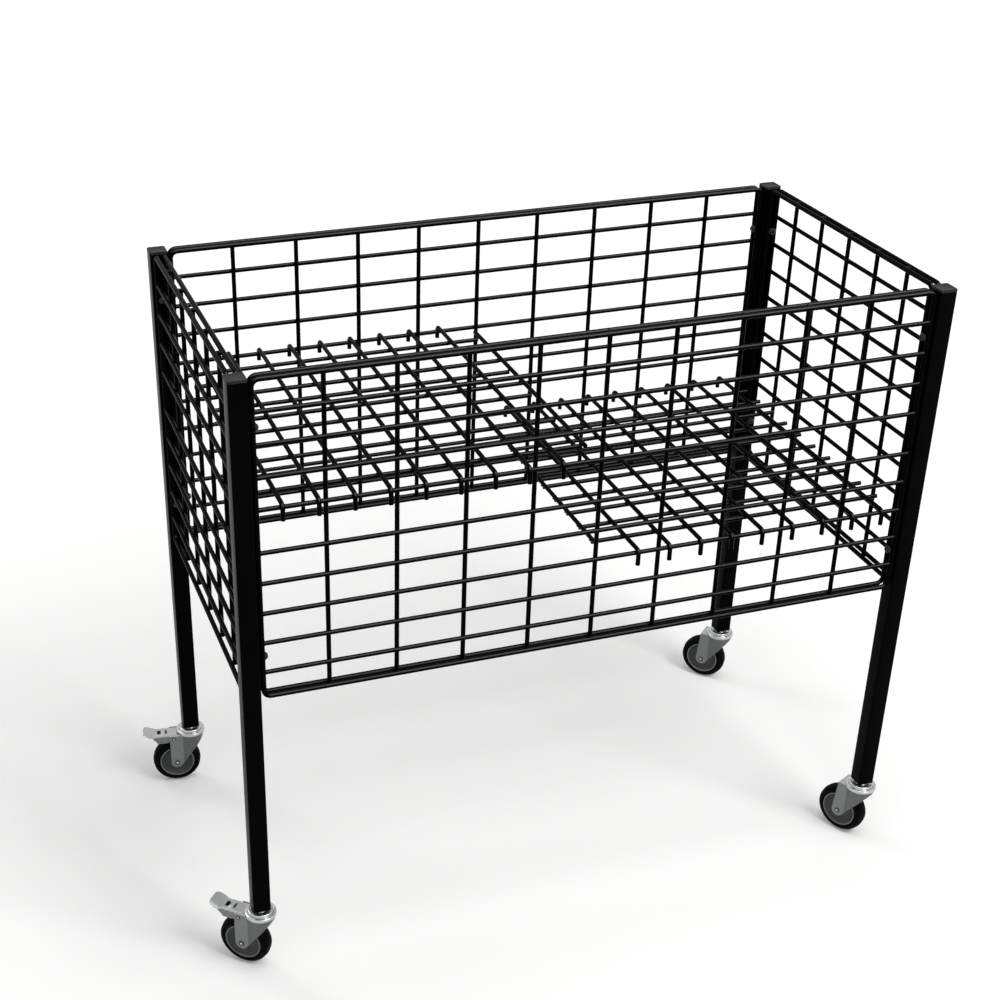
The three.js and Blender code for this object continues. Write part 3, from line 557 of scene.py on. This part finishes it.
# race, collar, stem and kingpin in one turned shape: (radius, height, rounding) from the kingpin's foot to the top
raceLook = {"profile": [
    (0, -19.5, 0), (6.5, -19.5, 0.6), (9, -16.6, 0.5), (6, -16.6, 0), (6, -8.7, 0.5), (22.6, -8.7, 1.5),
    (22.9, -13.1, 0.5), (24.5, -13.1, 0.7), (24.5, -8.0, 1.6), (21.2, -7.4, 0.4), (20.0, -7.9, 0.3), (20, -3.3, 1.6),
    (16.5, -3.0, 0.9), (14.5, -5.2, 1.0), (9.6, -5.2, 0.6), (9, -0.3, 0.7), (5, -0.3, 0.3), (5, 28, 0.8), (0, 28, 0)]}
shape = bmesh.new()
turnProfile(shape, roundCorners(raceLook["profile"]))
raceMesh = makeMesh("castor_race", shape, [zinc["race"]])


# a profile turned about the axle; faces further out than splitRadius take the second material
def aboutAxle(name, profile, materials, sides, splitRadius, closed=False):
    shape = bmesh.new()
    turnProfile(shape, profile, sides, closed)
    bmesh.ops.rotate(shape, matrix=Matrix.Rotation(math.pi / 2, 3, "X"), verts=shape.verts)
    for face in shape.faces:
        middle = face.calc_center_median()
        face.material_index = int(math.hypot(middle.x, middle.z) > splitRadius)
    return makeMesh(name, shape, materials)


# tyre and wheel centre: half profiles of (radius, half width, rounding)
wheelShape = {"wheelRadius": 41.46, "tyreSide": 13.0, "rimRadius": 29.8, "rimWidth": 2.2, "hubSide": 13.0,
              "hubRadius": 9.0, "bore": 4.5, "sides": 72}
wheel, tyreSide, rim = wheelShape["wheelRadius"], wheelShape["tyreSide"], wheelShape["rimRadius"]
hubSide, hub = wheelShape["hubSide"], wheelShape["hubRadius"]
halfTyre = [(rim + 0.3, tyreSide - 1.4, 0), (rim + 2.4, tyreSide - 0.8, 0.8), (wheel - 6.8, tyreSide, 1.8),
            (wheel - 1.4, tyreSide - 4.6, 4.2), (wheel, 0.5, 0), (wheel - 0.25, 0.2, 0)]
halfCentre = [(wheelShape["bore"], hubSide, 0), (hub - 0.6, hubSide, 0.6), (hub + 0.8, 6.2, 1.8), (rim - 8.5, 5.2, 2.5),
              (rim - 2.4, 9.4, 1.2), (rim - 1.9, tyreSide - 0.6, 0.3), (rim - 0.5, tyreSide - 0.6, 0.4),
              (rim - 0.1, tyreSide - 2.0, 0)]
tyreMesh = aboutAxle("castor_tyre", mirrorProfile(halfTyre, 6), [tyreRubber], wheelShape["sides"], wheel, True)
centreMesh = aboutAxle("wheel_centre", mirrorProfile(halfCentre, 5), [wheelPlastic["centre"], wheelPlastic["rim"]],
                       wheelShape["sides"], rim - wheelShape["rimWidth"], True)

# fork: one pressed sheet; its plan runs down one leg, round the crown and up the other leg
forkLook = {"trail": 27.0, "axleDrop": 70.1, "legOut": 16.5, "legEnd": 10.3, "slopeAngle": -151.2, "sheet": 2.5,
            "edge": 0.35, "crown": 23.0, "crownTop": -13.6, "crownLip": 5.0, "skirtDepth": 35.5, "bend": 2.2,
            "crease": 0.7, "creaseReach": 8.0, "wrap": 16.2, "lean": 5.0, "leanFrom": 18.0, "topLip": 5.0,
            "lipStraightFrom": 15.5, "rows": 14}
trail, legOut, crown = forkLook["trail"], forkLook["legOut"], forkLook["crown"]
crownTop, axleZ, legEnd = forkLook["crownTop"], -forkLook["axleDrop"], forkLook["legEnd"]
lipZ, slopeAngle = crownTop - forkLook["crownLip"], math.radians(forkLook["slopeAngle"])
slopeEnd = (trail + legEnd * math.cos(slopeAngle), axleZ + legEnd * math.sin(slopeAngle))
slope = (slopeEnd[1] - lipZ) / (slopeEnd[0] + crown)

# headed pins through both legs of the fork: a rivet head on a washer at each end
pinLook = {"castor_axle": {"radius": 4, "washer": 4.6, "rivet": 2.0, "height": 1.6},
           "brake_pin": {"radius": 2.5, "washer": 3.2, "rivet": 1.5, "height": 1.0}, "gap": 0.05, "sides": 32}
pinMeshes = {}
for name in ("castor_axle", "brake_pin"):
    radius, washer, rivet, height = (pinLook[name][key] for key in ("radius", "washer", "rivet", "height"))
    seat = legOut + pinLook["gap"]
    washerTop = seat + height * 0.3
    halfPin = [(0, seat + height, 0), (rivet * 0.7, seat + height * 0.9, 0.6), (rivet, seat + height * 0.45, 0.3),
               (rivet + 0.1, washerTop, 0), (washer, washerTop, 0.3), (washer, seat, 0), (radius, seat, 0)]
    pinMeshes[name] = aboutAxle(name, mirrorProfile(halfPin, 4), [zinc["race"], zinc["ring"]], pinLook["sides"], rivet)


def crownRadius(z):
    fall = min((crownTop - z) / forkLook["skirtDepth"], 1)
    return crown + (legOut - crown) * max(fall, 0)


# a point of the sheet's outer side: flat columns go by x, columns round the crown by angle
def forkPoint(column, z):
    kind, value = column
    radius, crease = crownRadius(z), forkLook["crease"]
    if kind == "crown":
        return Vector((-radius * math.cos(value), radius * math.sin(value), z))
    y = math.sqrt(max(radius ** 2 - value ** 2, 0))
    if y < legOut + forkLook["creaseReach"]:
        y = (legOut + y + math.hypot(legOut - y, crease)) / 2 - crease / 2
    return Vector((value, y, z))


def forkFoot(column):
    kind, value = column
    if kind == "flat" and value > slopeEnd[0]:
        return axleZ - math.sqrt(max(legEnd ** 2 - (value - trail) ** 2, 0))
    z = lipZ
    for attempt in range(30):  # where this column meets the sloping front edge
        z = lipZ + slope * (forkPoint(column, z).x + crown)
    return z


columns = [("flat", trail + legEnd * math.cos(math.radians(step))) for step in range(0, 145, 9)]
columns += [("flat", 18 - 1.5 * step) for step in range(12)]
columns += [("crown", math.radians(step)) for step in range(90, 0, -6)]
otherLeg = columns[::-1]
columns.append(("crown", 0.0))


def forkMesh(braked):
    shape = bmesh.new()
    bend, leanFrom, count = forkLook["bend"], forkLook["leanFrom"], forkLook["rows"]
    rows = []
    for side, legColumns in ((1, columns), (-1, otherLeg)):
        for column in legColumns:
            start, foot = crownTop - bend, forkFoot(column)
            top = forkPoint(column, crownTop)
            inward = Vector((-top.x, -top.y, 0)).normalized()
            if column[0] == "flat" and top.x > forkLook["lipStraightFrom"]:
                inward = Vector((0, -1, 0))
            line = [top + inward * forkLook["topLip"], top + inward * bend]
            for angle in (math.radians(step) for step in (25, 50, 75)):
                drop = Vector((0, 0, -bend * (1 - math.cos(angle))))
                line.append(top + inward * bend * (1 - math.sin(angle)) + drop)
            line += [forkPoint(column, start + (foot - start) * step / count) for step in range(count + 1)]
            if not braked:  # the back edge leans in towards the top
                for p in line:
                    past, rise = max(p.x - leanFrom, 0) / leanFrom, max(p.z - axleZ, 0) / (crownTop - axleZ)
                    p.x -= forkLook["lean"] * past * rise
            rows.append([shape.verts.new((p.x, p.y * side, p.z)) for p in line])
    for left, right in zip(rows, rows[1:]):
        first = int(braked and min(left[0].co.x, right[0].co.x) > crown)  # no lip where the pedal passes
        # faces round the crown's front take the darker zinc, a painted reflection; the top lip and the crown's top
        # plate take the paler one, painted light on faces that look up
        wrapped = max(left[6].co.x, right[6].co.x) < forkLook["wrap"]
        for i in range(first, len(left) - 1):
            face = shape.faces.new((left[i], left[i + 1], right[i + 1], right[i]))
            face.material_index = 1 if i < 3 else 2 * wrapped
    plate = [row[0] for row in rows if not (braked and row[0].co.x > crown)]
    shape.faces.new(plate).material_index = 1
    mesh = makeMesh("castor_fork", shape, [zinc["fork"], zinc["pedal"], zinc["skirt"]])
    return thicken(mesh, forkLook["sheet"], forkLook["edge"])


# brake pedal: a pressed channel with deep skirts and a flared tip that turns up; a bridge stands between a window and a
# slit in its top, with a leaf spring beneath, a dark sheet that is painted shade seen through the openings
pedalLook = {"pivot": (30.5, -20.1), "end": 6.5, "start": 24.3, "half": 13.0, "flare": 3.0, "flareFrom": 60.0,
             "flatEnd": 66.0, "tip": 81.5, "rise": 6.5, "curl": 1.2, "tipRadius": 8.0, "sheet": 1.8, "edge": 0.3,
             "bend": 2.0, "skirt": ((44.0, -29.0), (58.5, -29.0), (65.5, -17.0)), "slit": (41.5, 44.5),
             "window": (52.0, 58.5), "opening": 5.6, "openingEdge": 1.4, "bridge": 0.9, "leafHalf": 9.2,
             "leaf": ((35, -19.5), (41, -18.6), (50, -18.3), (59, -18.9), (63, -19.4))}


def pedalTop(x):
    turn = max((x - pedalLook["flatEnd"]) / (pedalLook["tip"] - pedalLook["flatEnd"]), 0)
    return pedalLook["pivot"][1] + pedalLook["end"] + pedalLook["rise"] * turn ** pedalLook["curl"]


def pedalFoot(x):
    pivotX, pivotZ = pedalLook["pivot"]
    if x < pivotX:
        return pivotZ - math.sqrt(max(pedalLook["end"] ** 2 - (x - pivotX) ** 2, 0))
    line = [(pivotX, pivotZ - pedalLook["end"])] + list(pedalLook["skirt"])
    for (x0, z0), (x1, z1) in zip(line, line[1:]):
        if x <= x1:
            return z0 + (z1 - z0) * (x - x0) / (x1 - x0)
    return pedalTop(x) - pedalLook["bend"]


def pedalHalf(x):
    spread = min(max((x - pedalLook["flareFrom"]) / (pedalLook["flatEnd"] - pedalLook["flareFrom"]), 0), 1)
    half = pedalLook["half"] + pedalLook["flare"] * spread ** 2 * (3 - 2 * spread)
    past = x - (pedalLook["tip"] - pedalLook["tipRadius"])
    if past > 0:
        half -= pedalLook["tipRadius"] - math.sqrt(max(pedalLook["tipRadius"] ** 2 - past ** 2, 0))
    return half


def pedalMesh():
    opening, wide = pedalLook["opening"], pedalLook["opening"] + pedalLook["openingEdge"]
    (slitFrom, slitTo), (windowFrom, windowTo) = pedalLook["slit"], pedalLook["window"]
    # closer together where the sheet bends, is cut or ends
    stations = [pedalLook["start"] + step for step in (0, 0.8, 1.8, 3.2, 4.8, 6.5, 9, 12)]
    stations += [38, slitFrom - 1, slitFrom, slitTo, slitTo + 1.5, 48, windowFrom - 1.5, windowFrom, 55, windowTo]
    stations += [59.5, 61, 62.5, 64, 65.5, 66, 67, 68.5, 70, 72]
    stations += [pedalLook["tip"] - pedalLook["tipRadius"] * (1 - math.sin(math.radians(step)))
                 for step in (5, 20, 35, 50, 62, 74, 84, 90)]
    shape = bmesh.new()
    rows = []
    for x in stations:
        half, top, foot = pedalHalf(x), pedalTop(x), pedalFoot(x)
        bend = min(pedalLook["bend"], max((top - foot) / 2, 0.05))
        side = [(half, foot), (half, (foot + top - bend) / 2), (half, top - bend),
                (half - bend * 0.29, top - bend * 0.29), (half - bend, top)]  # 0.29 is the middle of a quarter round
        line = [(-y, z) for y, z in side]
        for y in (-wide, -opening, -opening / 3, opening / 3, opening, wide):
            raised = pedalLook["bridge"] if slitTo + 1 < x < windowFrom - 1 and abs(y) <= opening else 0
            line.append((y * min(1, (half - bend) / (opening + 2)), top + raised))
        rows.append([shape.verts.new((x, y, z)) for y, z in line + side[::-1]])
    firstCut = len(side) + 1
    for left, right in zip(rows, rows[1:]):
        x0, x1 = left[0].co.x, right[0].co.x
        cut = any(low - 0.01 < x0 and x1 < high + 0.01 for low, high in (pedalLook["slit"], pedalLook["window"]))
        for i in range(len(left) - 1):
            if not (cut and firstCut <= i < firstCut + 3):
                # the top takes the pale zinc, painted light on faces that look up, and the skirts the fork's darker
                # zinc
                onSkirt = (i < 2 or i > len(left) - 4) and x0 < pedalLook["flatEnd"]
                face = shape.faces.new((left[i], left[i + 1], right[i + 1], right[i]))
                face.material_index = 2 * onSkirt
    leafSides = (-pedalLook["leafHalf"], pedalLook["leafHalf"])
    # the leaf's dark zinc is painted shade under the window and slit
    leaf = [[shape.verts.new((x, y, z)) for y in leafSides] for x, z in pedalLook["leaf"]]
    for left, right in zip(leaf, leaf[1:]):
        shape.faces.new((left[0], left[1], right[1], right[0])).material_index = 1
    mesh = makeMesh("brake_pedal", shape, [zinc["pedal"], zinc["inner"], zinc["fork"]])
    return thicken(mesh, pedalLook["sheet"], pedalLook["edge"])


forkMeshes = {braked: forkMesh(braked) for braked in (False, True)}
pedalSheet = pedalMesh()
toPivot = Matrix.Translation((-pedalLook["pivot"][0], 0, -pedalLook["pivot"][1]))
for corner in cornerNames:
    swivel = Vector(joints["swivel_turn_" + corner]["pos_m"])
    axle = Vector(joints["wheel_roll_" + corner]["pos_m"])
    back = Vector((axle.x - swivel.x, axle.y - swivel.y, 0)).normalized()
    turn = Matrix((back, Vector((0, 0, 1)).cross(back), Vector((0, 0, 1)))).transposed().to_4x4()
    atSwivel = Matrix.Translation(swivel) @ turn @ milli
    atAxle = Matrix.Translation(axle) @ turn @ milli
    braked = "brake_press_" + corner in joints
    pieces = [("race_", raceMesh, atSwivel, "frame", "castor_stem_", "zinc_plate"),
              ("fork_", forkMeshes[braked], atSwivel, "swivel_" + corner, "castor_fork_", "zinc_plate"),
              ("axle_", pinMeshes["castor_axle"], atAxle, "swivel_" + corner, "castor_axle_", "zinc_plate"),
              ("tread_", tyreMesh, atAxle, "wheel_" + corner, "tyre_", "tyre_rubber"),
              ("centre_", centreMesh, atAxle, "wheel_" + corner, "wheel_centre_", "wheel_plastic")]
    if braked:
        atPivot = Matrix.Translation(joints["brake_press_" + corner]["pos_m"]) @ turn @ milli
        pieces += [("pedal_", pedalSheet, atPivot @ toPivot, "pedal_" + corner, "brake_pedal_", "zinc_plate"),
                   ("pin_", pinMeshes["brake_pin"], atPivot, "swivel_" + corner, "brake_pin_", "zinc_plate")]
    for name, mesh, toPlace, body, node, slot in pieces:
        placePiece(name + corner, mesh, toPlace, body, node + corner)
    socket = frame["nodes"]["castor_socket_" + corner].data
    socket.materials.clear()
    socket.materials.append(zinc["fork"])
print("castors fitted")

# camera: the offset is from the middle of the posts on the floor, the angles are in degrees and the focal length in
# widths of the picture
cameraLook = {"offset": (-0.941, -2.203, 1.840), "azimuth": 17.53, "elevation": 29.58, "roll": -0.18,
              "focal": 1.713, "sensor": 36, "shift": (0.12, 0.06)}
middle = sum((sum(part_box("post_" + name), Vector()) for name in cornerNames), Vector()) / 8
azimuth, elevation, roll = (math.radians(cameraLook[key]) for key in ("azimuth", "elevation", "roll"))
onFloor = Vector((math.sin(azimuth), math.cos(azimuth), 0))
ahead = onFloor * math.cos(elevation) - Vector((0, 0, math.sin(elevation)))
right = Vector((math.cos(azimuth), -math.sin(azimuth), 0))
above = right.cross(ahead)
across = right * math.cos(roll) + above * math.sin(roll)
upward = above * math.cos(roll) - right * math.sin(roll)
cameraData = bpy.data.cameras.new("camera")
cameraData.sensor_width = cameraLook["sensor"]
cameraData.lens = cameraLook["focal"] * cameraLook["sensor"]
cameraData.shift_x, cameraData.shift_y = cameraLook["shift"]
camera = bpy.data.objects.new("camera", cameraData)
eye = Vector((middle.x, middle.y, 0)) + Vector(cameraLook["offset"])
camera.matrix_world = Matrix.Translation(eye) @ Matrix((across, upward, -ahead)).transposed().to_4x4()
scene.collection.objects.link(camera)
scene.camera = camera
scene.view_settings.view_transform = "Standard"

# lamps: a large one from the front right, a soft one above and a weak one behind
lightLook = {"main": {"place": (1.3, -2.2, 3.4), "size": 1.4, "watts": 75},
             "top": {"place": (0.2, -0.3, 3.3), "size": 1.6, "watts": 34},
             "back": {"place": (-1.6, 2.2, 2.6), "size": 1.0, "watts": 14}, "aim": (0, 0, 0.5)}
for name in ("main", "top", "back"):
    lamp = lightLook[name]
    lampData = bpy.data.lights.new("lamp_" + name, "AREA")
    lampData.size, lampData.energy = lamp["size"], lamp["watts"]
    lampObject = bpy.data.objects.new("lamp_" + name, lampData)
    lampObject.location = lamp["place"]
    toAim = Vector(lightLook["aim"]) - Vector(lamp["place"])
    lampObject.rotation_euler = toAim.to_track_quat("-Z", "Y").to_euler()
    lampObject.visible_camera = False
    scene.collection.objects.link(lampObject)


# 1 for rays that look at the backdrop, straight on or in a reflection, and 0 for those that it lights
def seenShare(tree):
    seen = addNode(tree, "ShaderNodeLightPath").outputs
    share = seen["Is Camera Ray"]
    for ray in ("Is Glossy Ray", "Is Transmission Ray"):
        share = addNode(tree, "ShaderNodeMath", {0: share, 1: seen[ray]}, operation="MAXIMUM")
    return share


worldLook = {"lights": 0.3, "seen": 1.0}
world = bpy.data.worlds.new("studio")
scene.world = world
world.use_nodes = True
tree = world.node_tree
level = addNode(tree, "ShaderNodeMapRange", {
    "Value": seenShare(tree), "To Min": worldLook["lights"], "To Max": worldLook["seen"]})
setInputs(tree, tree.nodes["Background"], {"Strength": level, "Color": (1, 1, 1, 1)})

# Paper floor: matt, close to white, keeping the object's soft shadow; near and far are metres and the lift to white
floorLook = {"colours": ("#f4f4f3", "#f4f4f3"), "patch": (0.004, 3.0), "rough": (0.9, 0.9), "specular": 0.1,
             "grain": ((0.004, 0.004, 0.004), 3.0), "bump": (0.05, 0.0005),
             "size": 16.0, "near": (0.6, 0.17), "far": (3.6, 0.75)}
floorPaper = makeSurface("floor_paper", floorLook)
tree = floorPaper.node_tree
(near, nearLift), (far, farLift) = floorLook["near"], floorLook["far"]
place = addNode(tree, "ShaderNodeTexCoord").outputs["Object"]
reach = addNode(tree, "ShaderNodeVectorMath", {0: place}, operation="LENGTH")
level = addNode(tree, "ShaderNodeMapRange", {
    "Value": reach, "From Min": near, "From Max": far, "To Min": nearLift, "To Max": farLift})
lift = addNode(tree, "ShaderNodeMath", {0: seenShare(tree), 1: level}, operation="MULTIPLY")
setInputs(tree, tree.nodes["Principled BSDF"], {"Emission Color": (1, 1, 1, 1), "Emission Strength": lift})
half = floorLook["size"] / 2
floorMesh = bpy.data.meshes.new("floor")
floorMesh.from_pydata([(-half, -half, 0), (half, -half, 0), (half, half, 0), (-half, half, 0)], [], [(0, 1, 2, 3)])
floorMesh.materials.append(floorPaper)
floor = bpy.data.objects.new("floor", floorMesh)
scene.collection.objects.link(floor)
print("stage lit")
